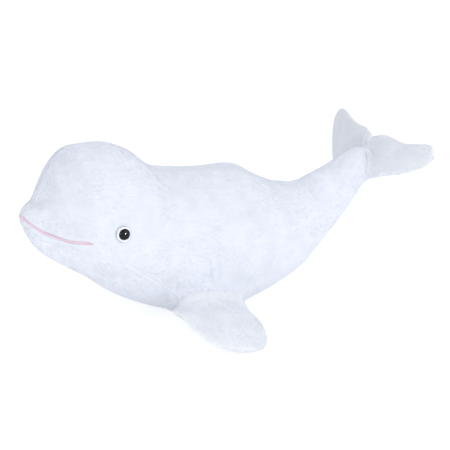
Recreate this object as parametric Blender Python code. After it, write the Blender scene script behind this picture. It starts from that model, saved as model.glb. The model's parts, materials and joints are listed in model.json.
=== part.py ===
"""A plush white whale.

Three plush cloth panels (two sides and a belly) are sewn round four wads of stuffing. Two flippers
and two fluke lobes, each a pair of cloth panels round its own stuffing, are sewn on along a straight
root seam and swing about it. The eyes are plastic domes whose stems pass through the cloth into
locking washers. The head points to -X, the whale's left side to -Y, and the belly rests on z = 0.
"""

import math

import bpy
import bmesh
import numpy as np
from mathutils import Matrix, Vector

# Body sizes, in metres
body_length = 0.4500
body_height = 0.2105
body_half_width = 0.0710
sit_depth = 0.0005

# Cloth, seams and stuffing
cloth = 0.0022
seam_gap = 0.0003
fill_gap = 0.0014
wad_gap = 0.0006

# Mouth stitching
mouth_width = 0.0026
mouth_proud = 0.0010
mouth_clearance = 0.0003

# Safety eye: dome, rim, stem and locking washer
eye_dome_radius = 0.0060
eye_dome_height = 0.0042
eye_rim_radius = 0.0090
eye_rim_height = 0.0017
eye_stem_radius = 0.0020
eye_stem_length = 0.0125
eye_washer_radius = 0.0080
eye_washer_thick = 0.0016
eye_washer_seat = 0.0013
eye_clearance = 0.0003
eye_seat_gap = 0.0004
eye_pocket_room = 0.0008

# Flippers
flipper_reach = 0.1020
flipper_root_radius = 0.0050
flipper_half_thick = 0.0105
flipper_root_proud = 0.0020
flipper_droop_deg = 14.8
flipper_up_deg = 25.0
flipper_down_deg = 20.0

# Fluke lobes
fluke_reach = 0.0920
fluke_root_radius = 0.0034
fluke_half_thick = 0.0085
fluke_droop_deg = 8.0
fluke_lean_share = 0.07

# Running room of a sewn root in its seat
root_clearance = 0.0004

# How fine the cloth is drawn
side_columns = 8
belly_columns = 9
wad_columns = 14
limb_columns = 6
turn_steps = 16

# Profile of the body from snout to tail notch. Each row is the top point along and up, the bottom
# point along and up, and the half width, as shares of the body's length, height and half width, then
# how high up the section is widest and how square its corners are.
profile_shares = [
    (0.000, 0.668, 0.000, 0.655, 0.035, 0.50, 2.0),
    (0.008, 0.698, 0.005, 0.600, 0.180, 0.50, 2.0),
    (0.021, 0.742, 0.018, 0.527, 0.320, 0.48, 2.0),
    (0.046, 0.807, 0.042, 0.465, 0.460, 0.45, 2.0),
    (0.080, 0.922, 0.088, 0.392, 0.700, 0.42, 2.0),
    (0.134, 0.988, 0.152, 0.301, 0.890, 0.42, 2.0),
    (0.200, 1.000, 0.222, 0.195, 0.950, 0.42, 2.0),
    (0.267, 0.946, 0.289, 0.112, 0.965, 0.42, 2.0),
    (0.335, 0.838, 0.365, 0.039, 0.980, 0.43, 2.0),
    (0.400, 0.812, 0.410, 0.000, 1.000, 0.44, 2.0),
    (0.489, 0.794, 0.511, 0.000, 1.000, 0.44, 2.0),
    (0.556, 0.790, 0.578, 0.038, 0.970, 0.44, 2.0),
    (0.622, 0.722, 0.645, 0.085, 0.880, 0.45, 2.0),
    (0.690, 0.660, 0.722, 0.152, 0.750, 0.46, 2.0),
    (0.756, 0.638, 0.800, 0.272, 0.570, 0.48, 2.0),
    (0.822, 0.683, 0.870, 0.388, 0.405, 0.50, 2.0),
    (0.888, 0.738, 0.922, 0.524, 0.285, 0.50, 2.2),
    (0.940, 0.780, 0.934, 0.580, 0.165, 0.50, 2.8),
    (0.966, 0.808, 0.945, 0.604, 0.100, 0.50, 3.4),
    (0.992, 0.834, 0.958, 0.625, 0.070, 0.50, 4.0),
    (1.000, 0.845, 0.963, 0.630, 0.000, 0.50, 4.0),
]

# Where the seam between side and belly runs: profile row, and degrees round the section from the
# right side over the back (the left side is at 180). The mouth lies on the first part of it.
seam_course = [
    (0.0, 180.0), (0.8, 177.5), (2.0, 185.0), (3.0, 191.0), (3.6, 194.0), (4.6, 190.0),
    (5.4, 196.5), (6.2, 202.0), (7.0, 207.5), (7.5, 214.5), (10.3, 226.0), (11.0, 231.0),
    (13.0, 246.0), (15.0, 256.0), (16.0, 262.0), (17.0, 266.0),
]
mouth_corner_row = 4.6
eye_row, eye_turn_deg = 5.73, 174.2
flipper_front_row, flipper_back_row = 7.5, 10.3
belly_end_row = 17.0
wad_end_rows = (1.0, 7.5, 12.5, 15.5, 18.5)

# Outlines of the limbs. Each row is how far out from the root seam, as a share of the reach, then the
# leading and the trailing edge, as shares of the root seam's length from its middle.
flipper_shares = [
    (0.00, -0.50, 0.50), (0.06, -0.55, 0.50), (0.16, -0.61, 0.50), (0.30, -0.66, 0.51),
    (0.46, -0.68, 0.50), (0.62, -0.67, 0.43), (0.77, -0.63, 0.35), (0.90, -0.53, 0.25),
    (0.97, -0.42, 0.14), (1.00, -0.28, 0.01),
]
fluke_shares = [
    (0.00, -0.47, 0.55), (0.10, -0.42, 0.62), (0.24, -0.34, 0.63), (0.42, -0.25, 0.65),
    (0.60, -0.15, 0.72), (0.74, -0.01, 0.81), (0.85, 0.12, 0.86), (0.93, 0.26, 0.85),
    (0.98, 0.39, 0.78), (1.00, 0.50, 0.66),
]


def through(stops, values, at):
    """A smooth curve through the stops that makes no bump of its own between them."""
    stops, values = np.asarray(stops, float), np.asarray(values, float)
    step = np.diff(stops)
    slope = np.diff(values) / step
    tangent = np.zeros(len(stops))
    tangent[0], tangent[-1] = slope[0], slope[-1]
    for i in range(1, len(slope)):
        if slope[i - 1] * slope[i] > 0:
            tangent[i] = 2 * slope[i - 1] * slope[i] / (slope[i - 1] + slope[i])
    i = np.clip(np.searchsorted(stops, at, side="right") - 1, 0, len(step) - 1)
    t = (at - stops[i]) / step[i]
    bend = t * t * (3 - 2 * t)
    return (values[i] * (1 - bend) + values[i + 1] * bend
            + step[i] * tangent[i] * t * (1 - t) ** 2 - step[i] * tangent[i + 1] * t * t * (1 - t))


profile = np.array(profile_shares) * (body_length, body_height, body_length, body_height,
                                      body_half_width, 1, 1)
last_row = len(profile) - 1


def skin(row, turn_deg):
    """Points of the body's outer surface, at profile rows and turns of the same shape."""
    row, turn = np.broadcast_arrays(np.asarray(row, float), np.radians(turn_deg))
    stops = np.arange(len(profile))
    top_x, top_z, low_x, low_z, half, widest, square = (through(stops, column, row) for column in profile.T)
    across = np.cos(turn)
    upward = np.sin(turn)
    y = half * np.sign(across) * np.abs(across) ** (2 / square)
    lift = np.abs(upward) ** (2 / square)
    mid_x = low_x + (top_x - low_x) * widest
    mid_z = low_z + (top_z - low_z) * widest
    over = upward > 0
    x = mid_x + lift * np.where(over, top_x - mid_x, low_x - mid_x)
    z = mid_z + lift * np.where(over, top_z - mid_z, low_z - mid_z)
    return np.stack((x, y, z - sit_depth), -1)


def skin_normal(row, turn_deg):
    """Outward directions of the same surface."""
    row, turn_deg = np.broadcast_arrays(np.asarray(row, float), np.asarray(turn_deg, float))
    near = np.clip(row, 0.3, last_row - 1.1)
    along = skin(near + 0.05, turn_deg) - skin(near - 0.05, turn_deg)
    around = skin(near, turn_deg + 1) - skin(near, turn_deg - 1)
    out = np.cross(around, along)
    return out / np.linalg.norm(out, axis=-1, keepdims=True)


def beneath(row, turn_deg, depth):
    """Points a depth below the outer surface; both ends of the body draw in along it too."""
    row, turn_deg = np.broadcast_arrays(np.asarray(row, float), np.asarray(turn_deg, float))
    point = skin(row, turn_deg) - skin_normal(row, turn_deg) * depth
    nose = skin(row, turn_deg) * (1, 0.5, 1) + np.array((1.6 * depth, 0, 0))
    tail_low, tail_top = skin(last_row, 270), skin(last_row, 90)
    tail_middle = (tail_low + tail_top) / 2
    tail_way = (skin(last_row - 2, 270) + skin(last_row - 2, 90)) / 2 - tail_middle
    tail_way = tail_way / np.linalg.norm(tail_way)
    shorter = 1 - 2.6 * depth / np.linalg.norm(tail_top - tail_low)
    tail = tail_middle + (skin(row, turn_deg) - tail_middle) * shorter + tail_way * 1.2 * depth
    point = np.where((row < 0.01)[..., None], nose, point)
    return np.where((row > last_row - 0.01)[..., None], tail, point)


# Flipper root: a straight line just proud of the skin between two points of the seam
seam_rows, seam_turns = np.array(seam_course).T
root_ends = [skin(row, through(seam_rows, seam_turns, row))
             + skin_normal(row, through(seam_rows, seam_turns, row)) * flipper_root_proud
             for row in (flipper_front_row, flipper_back_row)]
root_along = (root_ends[1] - root_ends[0]) / np.linalg.norm(root_ends[1] - root_ends[0])
flipper_root_length = float(np.linalg.norm(root_ends[1] - root_ends[0]))


def seam_turn(row):
    """Degrees round the section at which the belly seam lies; it follows the flipper's root."""
    turn = through(seam_rows, seam_turns, row)
    if not flipper_front_row < row < flipper_back_row:
        return float(turn)
    tries = turn + np.linspace(-12, 12, 241)
    away = skin(row, tries) - root_ends[0]
    away = away - (away @ root_along)[:, None] * root_along
    return float(tries[np.argmin(np.linalg.norm(away, axis=1))])


def plush(name, colour, roughness, metallic=0.0):
    material = bpy.data.materials.new(name)
    material.use_nodes = True
    shader = material.node_tree.nodes["Principled BSDF"]
    shader.inputs["Base Color"].default_value = (*colour, 1)
    shader.inputs["Roughness"].default_value = roughness
    shader.inputs["Metallic"].default_value = metallic
    return material


def new_object(name, points, faces, material, parent=None):
    """A closed body from points and faces, its faces turned outwards and shaded smooth."""
    mesh = bpy.data.meshes.new(name)
    mesh.from_pydata([tuple(map(float, point)) for point in points], [], faces)
    work = bmesh.new()
    work.from_mesh(mesh)
    bmesh.ops.recalc_face_normals(work, faces=work.faces)
    if work.calc_volume(signed=True) < 0:
        bmesh.ops.reverse_faces(work, faces=work.faces)
    work.to_mesh(mesh)
    work.free()
    mesh.materials.append(material)
    mesh.shade_smooth()
    mesh.set_sharp_from_angle(angle=math.radians(40))
    body = bpy.data.objects.new(name, mesh)
    body.parent = parent
    bpy.context.scene.collection.objects.link(body)
    return body


def sheet(name, outer, inner, material, parent=None):
    """Cloth between two grids of points, closed round its edge."""
    rows, columns = outer.shape[:2]
    points = np.concatenate((outer.reshape(-1, 3), inner.reshape(-1, 3)))
    below = rows * columns
    faces = []
    for i in range(rows - 1):
        for j in range(columns - 1):
            a, b = i * columns + j, i * columns + j + 1
            c, d = a + columns, b + columns
            faces += [(a, b, d), (a, d, c)]
            faces += [(a + below, d + below, b + below), (a + below, c + below, d + below)]
    rim = ([j for j in range(columns)] + [i * columns + columns - 1 for i in range(1, rows)]
           + [(rows - 1) * columns + j for j in range(columns - 2, -1, -1)]
           + [i * columns for i in range(rows - 2, 0, -1)])
    for a, b in zip(rim, rim[1:] + rim[:1]):
        faces += [(b, a, a + below), (b, a + below, b + below)]
    return new_object(name, points, faces, material, parent)


def wad(name, grid, material, parent=None):
    """Stuffing inside a tube of rings, closed by a fan at each end."""
    rows, columns = grid.shape[:2]
    points = list(grid.reshape(-1, 3)) + [grid[0].mean(axis=0), grid[-1].mean(axis=0)]
    faces = []
    for i in range(rows - 1):
        for j in range(columns):
            a, b = i * columns + j, i * columns + (j + 1) % columns
            faces += [(a, b, b + columns), (a, b + columns, a + columns)]
    for j in range(columns):
        k = (j + 1) % columns
        faces += [(rows * columns, k, j)]
        faces += [(rows * columns + 1, (rows - 1) * columns + j, (rows - 1) * columns + k)]
    return new_object(name, points, faces, material, parent)


def turned(name, outline, material, place):
    """A round solid from an outline of radius and height pairs, turned about its local Z."""
    turns = [2 * math.pi * k / turn_steps for k in range(turn_steps)]
    closed = [index for index, (radius, height) in enumerate(outline) if radius > 0]
    points, index = [], {}
    for n, (radius, height) in enumerate(outline):
        if n in closed:
            index[n] = [len(points) + k for k in range(turn_steps)]
            points += [(radius * math.cos(t), radius * math.sin(t), height) for t in turns]
        else:
            index[n] = [len(points)] * turn_steps
            points.append((0, 0, height))
    faces = []
    for n in range(len(outline)):
        here, there = index[n], index[(n + 1) % len(outline)]
        for k in range(turn_steps):
            m = (k + 1) % turn_steps
            corner = []
            for v in (here[k], here[m], there[m], there[k]):
                if v not in corner:
                    corner.append(v)
            if len(corner) > 2:
                faces.append(corner)
    body = new_object(name, points, faces, material)
    body.matrix_world = place
    return body


def cut(body, cutter):
    """Takes the cutter's shape out of the body."""
    cutter.hide_render = True
    cutter.display_type = "WIRE"
    taken = body.modifiers.new(cutter.name, "BOOLEAN")
    taken.object = cutter
    taken.operation = "DIFFERENCE"
    taken.solver = "EXACT"


def frame_at(origin, x_way, y_way):
    """A placement with its X and Y along the given directions."""
    x_way, y_way = Vector(x_way).normalized(), Vector(y_way).normalized()
    place = Matrix((x_way, y_way, x_way.cross(y_way))).transposed().to_4x4()
    place.translation = Vector(origin)
    return place


def clear_scene():
    for thing in list(bpy.data.objects):
        bpy.data.objects.remove(thing, do_unlink=True)


# Body panels

def panel_grid(rows, first_turn, last_turn, columns, depth):
    """Points of a body panel between two seams, each half a seam gap away from its neighbour."""
    grid = []
    for row in rows:
        start, end = first_turn(row), last_turn(row)
        ring = skin(row, np.array((start, start + 1, end - 1, end)))
        start_room = seam_gap / 2 / max(np.linalg.norm(ring[1] - ring[0]), seam_gap)
        end_room = seam_gap / 2 / max(np.linalg.norm(ring[3] - ring[2]), seam_gap)
        turns = np.linspace(start + start_room, end - end_room, columns + 1)
        grid.append(beneath(row, turns, depth))
    return np.array(grid)


def side_panel(name, rows, side, material):
    """A side of the body: back seam to belly seam, and down to the underside behind the belly."""
    grids = []
    for depth in (0, cloth):
        grid = panel_grid(rows, lambda row: 90, lambda row: seam_turn(row) if row <= belly_end_row else 270,
                          side_columns, depth)
        grid[..., 1] = np.minimum(grid[..., 1], -seam_gap / 2) * side
        grids.append(grid)
    return sheet(name, *grids, material)


def belly_panel(rows, material):
    """Lower jaw, throat and belly in one piece, cut flat where it lies on the floor."""
    grids = [panel_grid([row for row in rows if row <= belly_end_row], seam_turn,
                        lambda row: 540 - seam_turn(row), belly_columns, depth) for depth in (0, cloth)]
    return sheet("belly_panel", *grids, material)


def body_wad(name, rows, front, back, material):
    """One wad of stuffing, clear of the cloth and of the next wad."""
    turns = 90 + 360 * np.arange(wad_columns) / wad_columns
    rings = []
    for row in [front] + [row for row in rows if front < row < back] + [back]:
        ring = beneath(row, turns, cloth + fill_gap)
        onward = (skin(row + 0.05, turns) - skin(row - 0.05, turns)).mean(axis=0)
        push = (row == front) * wad_gap / 2 - (row == back) * wad_gap / 2
        rings.append(ring + onward / np.linalg.norm(onward) * push)
    return wad(name, np.array(rings), material)


# Flippers and flukes

def limb_half_thickness(out, reach, root_radius, half_thick):
    """Half the thickness midway along the chord, from the rolled root out to the edge seam."""
    edge = seam_gap / 2 + cloth
    peak = 0.42 * reach
    if out <= 0:
        return math.sqrt(max(root_radius ** 2 - out ** 2, edge ** 2))
    if out < peak:
        t = out / peak
        return root_radius + (half_thick - root_radius) * t * t * (3 - 2 * t)
    return edge + (half_thick - edge) * (1 - ((out - peak) / (reach - peak)) ** 2.6)


def limb_grid(shares, reach, root_length, root_radius, half_thick, inset, trim):
    """Upper face of a limb in its own frame: X out, Y along the root seam, Z up."""
    edge = seam_gap / 2 + cloth
    back = math.sqrt(root_radius ** 2 - edge ** 2)
    stops, lead_shares, trail_shares = np.array(shares).T
    grid = []
    for share in [-back / reach] + list(stops):
        out = share * reach * (1 - trim) + (trim > 0) * root_radius * 0.6
        lead = through(stops, lead_shares, max(out / reach, 0)) * root_length
        trail = through(stops, trail_shares, max(out / reach, 0)) * root_length
        middle, half_chord = (lead + trail) / 2, (trail - lead) / 2 * (1 - trim)
        top = limb_half_thickness(out, reach, root_radius, half_thick)
        fullness = 6 - 3.2 * min(max(out / reach, 0) / 0.3, 1)
        across = np.sin(np.linspace(-math.pi / 2, math.pi / 2, limb_columns + 1))
        height = edge + (top - edge) * (1 - np.abs(across * (1 - trim)) ** fullness) - inset
        height = np.maximum(height, seam_gap / 2)
        grid.append(np.stack((np.full_like(across, out), middle + half_chord * across, height), -1))
    return np.array(grid)


def limb(name, hinge, side, lean, shape, cloth_look, fill_look):
    """Two cloth panels sewn round their edge and the stuffing between them."""
    outer = limb_grid(*shape, 0, 0)
    inner = limb_grid(*shape, cloth, 0)
    fill = limb_grid(*shape, cloth + fill_gap, 0.12)[2::2]
    for part, lift, faces in (("upper_panel", 1, (outer, inner)), ("lower_panel", -1, (outer, inner)),
                              ("stuffing", 1, (fill, fill * (1, 1, -1)))):
        look = fill_look if part == "stuffing" else cloth_look
        turned_faces = [face * (1, side, lift) + face[..., :1] * (0, lean, 0) for face in faces]
        sheet(f"{name}_{part}", *turned_faces, look, hinge)


def hinge_empty(name, place):
    hinge = bpy.data.objects.new(name, None)
    hinge.empty_display_size = flipper_root_radius
    bpy.context.scene.collection.objects.link(hinge)
    hinge.matrix_world = place
    return hinge


def flipper_place(side):
    """The root seam's middle, X out along the flipper and Y along the seam."""
    droop = math.radians(flipper_droop_deg)
    middle = (root_ends[0] + root_ends[1]) / 2 * (1, side, 1)
    seam_way = root_along * (1, side, 1) * side
    out = np.array((0, -side * math.cos(droop), -math.sin(droop)))
    out = out - seam_way * (out @ seam_way)
    return frame_at(middle, out, seam_way)


def flipper_seat(side, place):
    """The room that a flipper's rolled root turns in, from its lowest to its highest swing."""
    points = []
    outs = [share * flipper_reach for share in (0.20, 0.14, 0.09, 0.05, 0.02)]
    for out in outs:
        height = root_clearance + limb_half_thickness(out, flipper_reach, flipper_root_radius,
                                                      flipper_half_thick)
        points.append((out, -height, -flipper_down_deg))
    arc = [(0, -(flipper_root_radius + root_clearance), -flipper_down_deg)]
    sweep = 180 - flipper_up_deg - flipper_down_deg
    for k in range(1, 12):
        arc.append((0, -(flipper_root_radius + root_clearance), -flipper_down_deg - sweep * k / 12))
    upper = [(out, -height, flipper_up_deg) for out, height, _ in points[::-1]]
    arc.append((0, flipper_root_radius + root_clearance, flipper_up_deg))
    ring = []
    for out, height, swing in points + arc + upper:
        c, s = math.cos(math.radians(swing)), math.sin(math.radians(swing))
        ring.append((out * c - height * s, out * s + height * c))
    half = flipper_root_length / 2 + root_clearance
    points = [(x, y, z) for y in (-half, half) for x, z in ring]
    n = len(ring)
    faces = [list(range(n)), list(range(2 * n - 1, n - 1, -1))]
    faces += [(k, k + n, (k + 1) % n + n, (k + 1) % n) for k in range(n)]
    name = "flipper_seat_left" if side > 0 else "flipper_seat_right"
    seat = new_object(name, points, faces, bpy.data.materials["white_plush"])
    seat.matrix_world = place
    return seat


def fluke_place(side):
    """The fluke's root seam, along the side of the tail's end and just clear of it."""
    low, top = skin(last_row, 270), skin(last_row, 90)
    seam_way = (top - low) / np.linalg.norm(top - low)
    ahead = np.array((-seam_way[2], 0, seam_way[0]))
    middle = (skin(last_row - 1.2, 270) + skin(last_row - 1.2, 90)) / 2
    rings = skin(*np.meshgrid(np.arange(last_row - 4, last_row + 1), np.linspace(95, 265, 61)))
    between = [rings[:, :-1] * (1 - t) + rings[:, 1:] * t for t in np.linspace(0, 1, 9)]
    away = np.concatenate(between) - middle
    reach = fluke_root_radius + root_clearance
    forward, beside = np.abs(away @ ahead), np.abs(away[..., 1])
    near = forward < reach
    clear = (beside + np.sqrt(np.maximum(reach ** 2 - forward ** 2, 0)))[near].max()
    middle = middle + np.array((0, -side * clear, 0))
    droop = math.radians(fluke_droop_deg)
    out = np.array((0, -side * math.cos(droop), 0)) - ahead * math.sin(droop)
    return frame_at(middle, out, seam_way * side)


# Eyes and mouth

def eye(name, side, side_cloth, head_wad, looks):
    """Dome and stem in one, its rim, and the washer that locks the stem inside the cloth."""
    turn = eye_turn_deg if side > 0 else 180 - eye_turn_deg
    out = skin_normal(eye_row, turn)
    place = frame_at(skin(eye_row, turn), np.cross((0, 0, 1), out), np.cross(out, np.cross((0, 0, 1), out)))
    base = eye_seat_gap
    dome = [(eye_dome_radius * math.cos(t), base + eye_dome_height * math.sin(t))
            for t in [math.pi / 2 * k / 5 for k in range(5)]]
    turned(name, [(0, -eye_stem_length), (eye_stem_radius, -eye_stem_length), (eye_stem_radius, base)]
           + dome + [(0, base + eye_dome_height)], looks["eye"], place)
    bore, width = eye_dome_radius + eye_clearance, eye_rim_radius - eye_dome_radius - eye_clearance
    turned(name.replace("eye", "eye_rim"),
           [(bore, base), (bore + width, base), (bore + 0.92 * width, base + 0.6 * eye_rim_height),
            (bore + 0.6 * width, base + eye_rim_height), (bore, base + 0.8 * eye_rim_height)],
           looks["rim"], place)
    seat = -cloth - eye_washer_seat
    hole_radius = eye_stem_radius + eye_clearance
    turned(name.replace("eye", "eye_washer"),
           [(hole_radius, seat - eye_washer_thick), (eye_washer_radius, seat - eye_washer_thick),
            (eye_washer_radius, seat), (hole_radius, seat)], looks["washer"], place)
    hole = turned(name + "_hole",
                  [(0, -2 * cloth), (hole_radius, -2 * cloth), (hole_radius, cloth), (0, cloth)],
                  looks["washer"], place)
    cut(side_cloth, hole)
    pocket_radius, pocket_depth = eye_washer_radius + eye_pocket_room, eye_stem_length + eye_pocket_room
    pocket = turned(name + "_pocket", [(0, -pocket_depth), (pocket_radius, -pocket_depth),
                                       (pocket_radius, cloth), (0, cloth)], looks["washer"], place)
    cut(head_wad, pocket)


def mouth_stitch(material):
    """A band of stitching that lies over the mouth seam from one corner round the snout to the other."""
    outer, inner = [], []
    rows = [mouth_corner_row - k * mouth_corner_row / 14 for k in range(14)]
    for row in rows:
        turn = seam_turn(row)
        per_degree = np.linalg.norm(skin(row, turn + 1) - skin(row, turn))
        turns = turn + np.array((-1, 1)) * mouth_width / 2 / per_degree
        inner.append(beneath(row, turns, -mouth_clearance))
        outer.append(beneath(row, turns, -mouth_clearance - mouth_proud))
    tip = skin(0, 180)
    for lie, edge in ((mouth_clearance, inner), (mouth_clearance + mouth_proud, outer)):
        edge += [tip * (1, share, 1) + np.array(((-lie, 0, mouth_width / 2), (-lie, 0, -mouth_width / 2)))
                 for share in (1.0, 0.0)]
        edge += [ring * (1, -1, 1) for ring in edge[-2::-1]]
    return sheet("mouth_stitch", np.array(outer), np.array(inner), material)


def stand_on_origin():
    """Sets the whole toy with the middle of its length on the origin."""
    bpy.context.view_layer.update()
    solids = [thing for thing in bpy.data.objects if thing.type == "MESH" and not thing.hide_render]
    along = [(thing.matrix_world @ vert.co).x for thing in solids for vert in thing.data.vertices]
    middle = (min(along) + max(along)) / 2
    for thing in bpy.data.objects:
        if thing.parent is None:
            thing.location.x -= middle


def box_shape(length, depth):
    """A box under the floor, for cutting the belly flat."""
    points = [(x, y, z) for x in (0, length) for y in (-length / 2, length / 2) for z in (-depth, 0)]
    faces = [(0, 1, 3, 2), (4, 6, 7, 5), (0, 4, 5, 1), (2, 3, 7, 6), (0, 2, 6, 4), (1, 5, 7, 3)]
    return points, faces


def build():
    clear_scene()
    looks = {
        "eye": plush("black_eye", (0.012, 0.013, 0.018), 0.12),
        "rim": plush("clear_rim", (0.80, 0.82, 0.86), 0.20),
        "washer": plush("washer_plastic", (0.72, 0.72, 0.70), 0.45),
    }
    white = plush("white_plush", (0.79, 0.83, 0.90), 0.95)
    filling = plush("polyester_stuffing", (0.90, 0.90, 0.88), 1.0)
    thread = plush("mouth_thread", (0.80, 0.60, 0.66), 0.85)

    rows = [k / 2 for k in range(2 * 17)] + [17.0, 18.0, 19.0, 20.0]
    left = side_panel("side_panel_left", rows, 1, white)
    right = side_panel("side_panel_right", rows, -1, white)
    belly = belly_panel(rows, white)
    wads = [body_wad(name, rows, wad_end_rows[k], wad_end_rows[k + 1], filling)
            for k, name in enumerate(("head_stuffing", "trunk_stuffing", "rear_stuffing", "tail_stuffing"))]
    floor_box = new_object("floor_cut", *box_shape(body_length, 4 * sit_depth), white)
    cut(belly, floor_box)
    mouth_stitch(thread)

    for name, side, side_cloth in (("left", 1, left), ("right", -1, right)):
        eye(f"eye_{name}", side, side_cloth, wads[0], looks)
        place = flipper_place(side)
        seat = flipper_seat(side, place)
        for body in (side_cloth, belly, wads[0], wads[1]):
            cut(body, seat)
        hinge = hinge_empty(f"flipper_{name}_root", place)
        flipper = (flipper_shares, flipper_reach, flipper_root_length, flipper_root_radius,
                   flipper_half_thick)
        limb(f"flipper_{name}", hinge, side, 0, flipper, white, filling)
        fluke_root_length = float(np.linalg.norm(skin(last_row, 90) - skin(last_row, 270)))
        hinge = hinge_empty(f"fluke_{name}_root", fluke_place(side))
        fluke = (fluke_shares, fluke_reach, fluke_root_length, fluke_root_radius, fluke_half_thick)
        limb(f"fluke_{name}", hinge, side, -fluke_lean_share, fluke, white, filling)
    stand_on_origin()


build()
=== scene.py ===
import json
import math

import bmesh
import bpy
import numpy as np
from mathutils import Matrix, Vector
from mathutils.bvhtree import BVHTree


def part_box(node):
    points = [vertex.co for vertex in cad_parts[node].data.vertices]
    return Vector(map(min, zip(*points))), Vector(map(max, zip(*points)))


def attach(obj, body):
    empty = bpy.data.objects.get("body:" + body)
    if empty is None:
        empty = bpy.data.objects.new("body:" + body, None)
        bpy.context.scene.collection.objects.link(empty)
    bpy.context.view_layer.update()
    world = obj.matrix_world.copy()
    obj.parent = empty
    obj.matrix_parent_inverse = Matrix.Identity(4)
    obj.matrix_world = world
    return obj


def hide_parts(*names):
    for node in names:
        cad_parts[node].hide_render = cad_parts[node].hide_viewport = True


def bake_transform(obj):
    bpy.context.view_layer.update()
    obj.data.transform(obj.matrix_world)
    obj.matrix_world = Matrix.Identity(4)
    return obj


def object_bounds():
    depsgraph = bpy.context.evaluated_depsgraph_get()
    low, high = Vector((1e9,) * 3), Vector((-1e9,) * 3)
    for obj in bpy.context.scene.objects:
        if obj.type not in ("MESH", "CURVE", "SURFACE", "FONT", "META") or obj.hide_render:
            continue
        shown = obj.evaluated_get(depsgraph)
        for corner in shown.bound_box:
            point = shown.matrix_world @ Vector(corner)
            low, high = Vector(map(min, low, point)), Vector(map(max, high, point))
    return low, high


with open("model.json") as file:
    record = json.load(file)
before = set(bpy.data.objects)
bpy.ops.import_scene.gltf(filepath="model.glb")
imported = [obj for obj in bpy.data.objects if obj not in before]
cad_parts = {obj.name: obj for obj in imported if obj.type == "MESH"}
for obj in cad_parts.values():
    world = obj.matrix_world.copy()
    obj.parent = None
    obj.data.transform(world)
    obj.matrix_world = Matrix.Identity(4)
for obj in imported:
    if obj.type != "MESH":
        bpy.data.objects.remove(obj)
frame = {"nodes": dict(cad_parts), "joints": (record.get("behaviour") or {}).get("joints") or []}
cad_low, cad_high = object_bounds()

# Camera: to the left and front of the whale and a little above it, as the photograph was taken. The
# snout sits low on the left of the picture and the fluke high on the right.
def in_scene(name, data):
    """An object in the scene that shows the given camera, mesh or lamp."""
    piece = bpy.data.objects.new(name, data)
    bpy.context.scene.collection.objects.link(piece)
    return piece


snout_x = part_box("side_panel_left")[0].x
sit_depth = 0.0005
camera_azimuth, camera_elevation, camera_distance = -29.0, 16.5, 1.5
middle_from_snout, middle_height = 0.225, 0.095
looked_at = Vector((snout_x + middle_from_snout, 0, middle_height - sit_depth))
turn, rise = math.radians(camera_azimuth), math.radians(camera_elevation)
level = math.cos(rise)
towards_camera = Vector((math.sin(turn) * level, -math.cos(turn) * level, math.sin(rise)))
camera_data = bpy.data.cameras.new("camera")
camera_data.lens = 106.2
camera_data.sensor_width = 36
camera_data.shift_x, camera_data.shift_y = 0.0337, 0.0061
camera = in_scene("camera", camera_data)
camera.location = looked_at + towards_camera * camera_distance
camera.rotation_euler = towards_camera.to_track_quat("Z", "Y").to_euler()
bpy.context.scene.camera = camera


# Body shell: three panels of short-pile plush, two sides and a chin-to-belly panel, sewn edge to edge
# and stuffed. It is drawn as one skin, and its seams, creases and folds are pressed into that skin.
body_length, body_height, body_half_width = 0.4500, 0.2105, 0.0710
# Each section's top and bottom point along and up, half width, widest place and squareness, as shares.
body_shares = np.array([
    (-.003, 0.668, -.003, 0.654, 0.035, 0.50, 2.0), (0.007, 0.694, 0.004, 0.603, 0.175, 0.50, 2.0),
    (0.024, 0.736, 0.019, 0.533, 0.310, 0.48, 2.0), (0.051, 0.798, 0.044, 0.466, 0.435, 0.45, 2.0),
    (0.087, 0.920, 0.090, 0.390, 0.675, 0.42, 2.0), (0.133, 0.988, 0.152, 0.301, 0.885, 0.42, 2.0),
    (0.200, 0.991, 0.222, 0.194, 0.950, 0.42, 2.0), (0.267, 0.944, 0.289, 0.118, 0.965, 0.42, 2.0),
    (0.335, 0.838, 0.365, 0.050, 0.980, 0.43, 2.0), (0.400, 0.812, 0.410, 0.000, 1.000, 0.44, 2.0),
    (0.489, 0.794, 0.511, 0.000, 1.000, 0.44, 2.0), (0.556, 0.792, 0.578, 0.035, 0.970, 0.44, 2.0),
    (0.622, 0.722, 0.645, 0.080, 0.880, 0.45, 2.0), (0.690, 0.660, 0.722, 0.148, 0.750, 0.46, 2.0),
    (0.756, 0.640, 0.800, 0.268, 0.570, 0.48, 2.0), (0.822, 0.683, 0.871, 0.388, 0.410, 0.50, 2.0),
    (0.888, 0.740, 0.928, 0.516, 0.305, 0.50, 2.2), (0.940, 0.785, 0.946, 0.566, 0.235, 0.50, 2.4),
    (0.955, 0.778, 0.956, 0.588, 0.185, 0.50, 2.5), (0.961, 0.757, 0.963, 0.606, 0.125, 0.50, 2.6),
    (0.964, 0.727, 0.967, 0.618, 0.030, 0.50, 2.6),
])
# The chin and belly seam: the number of the section, and the turn round it in degrees.
seam_course = np.array([
    (0.0, 180.0), (0.8, 177.5), (2.0, 185.0), (3.0, 191.0), (3.6, 194.0), (4.6, 190.0), (5.4, 196.5),
    (6.2, 202.0), (7.0, 207.5), (7.5, 214.5), (10.3, 226.0), (11.0, 231.0), (13.0, 246.0), (15.0, 256.0),
    (16.0, 262.0), (17.0, 266.0), (20.0, 269.0),
])


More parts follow.
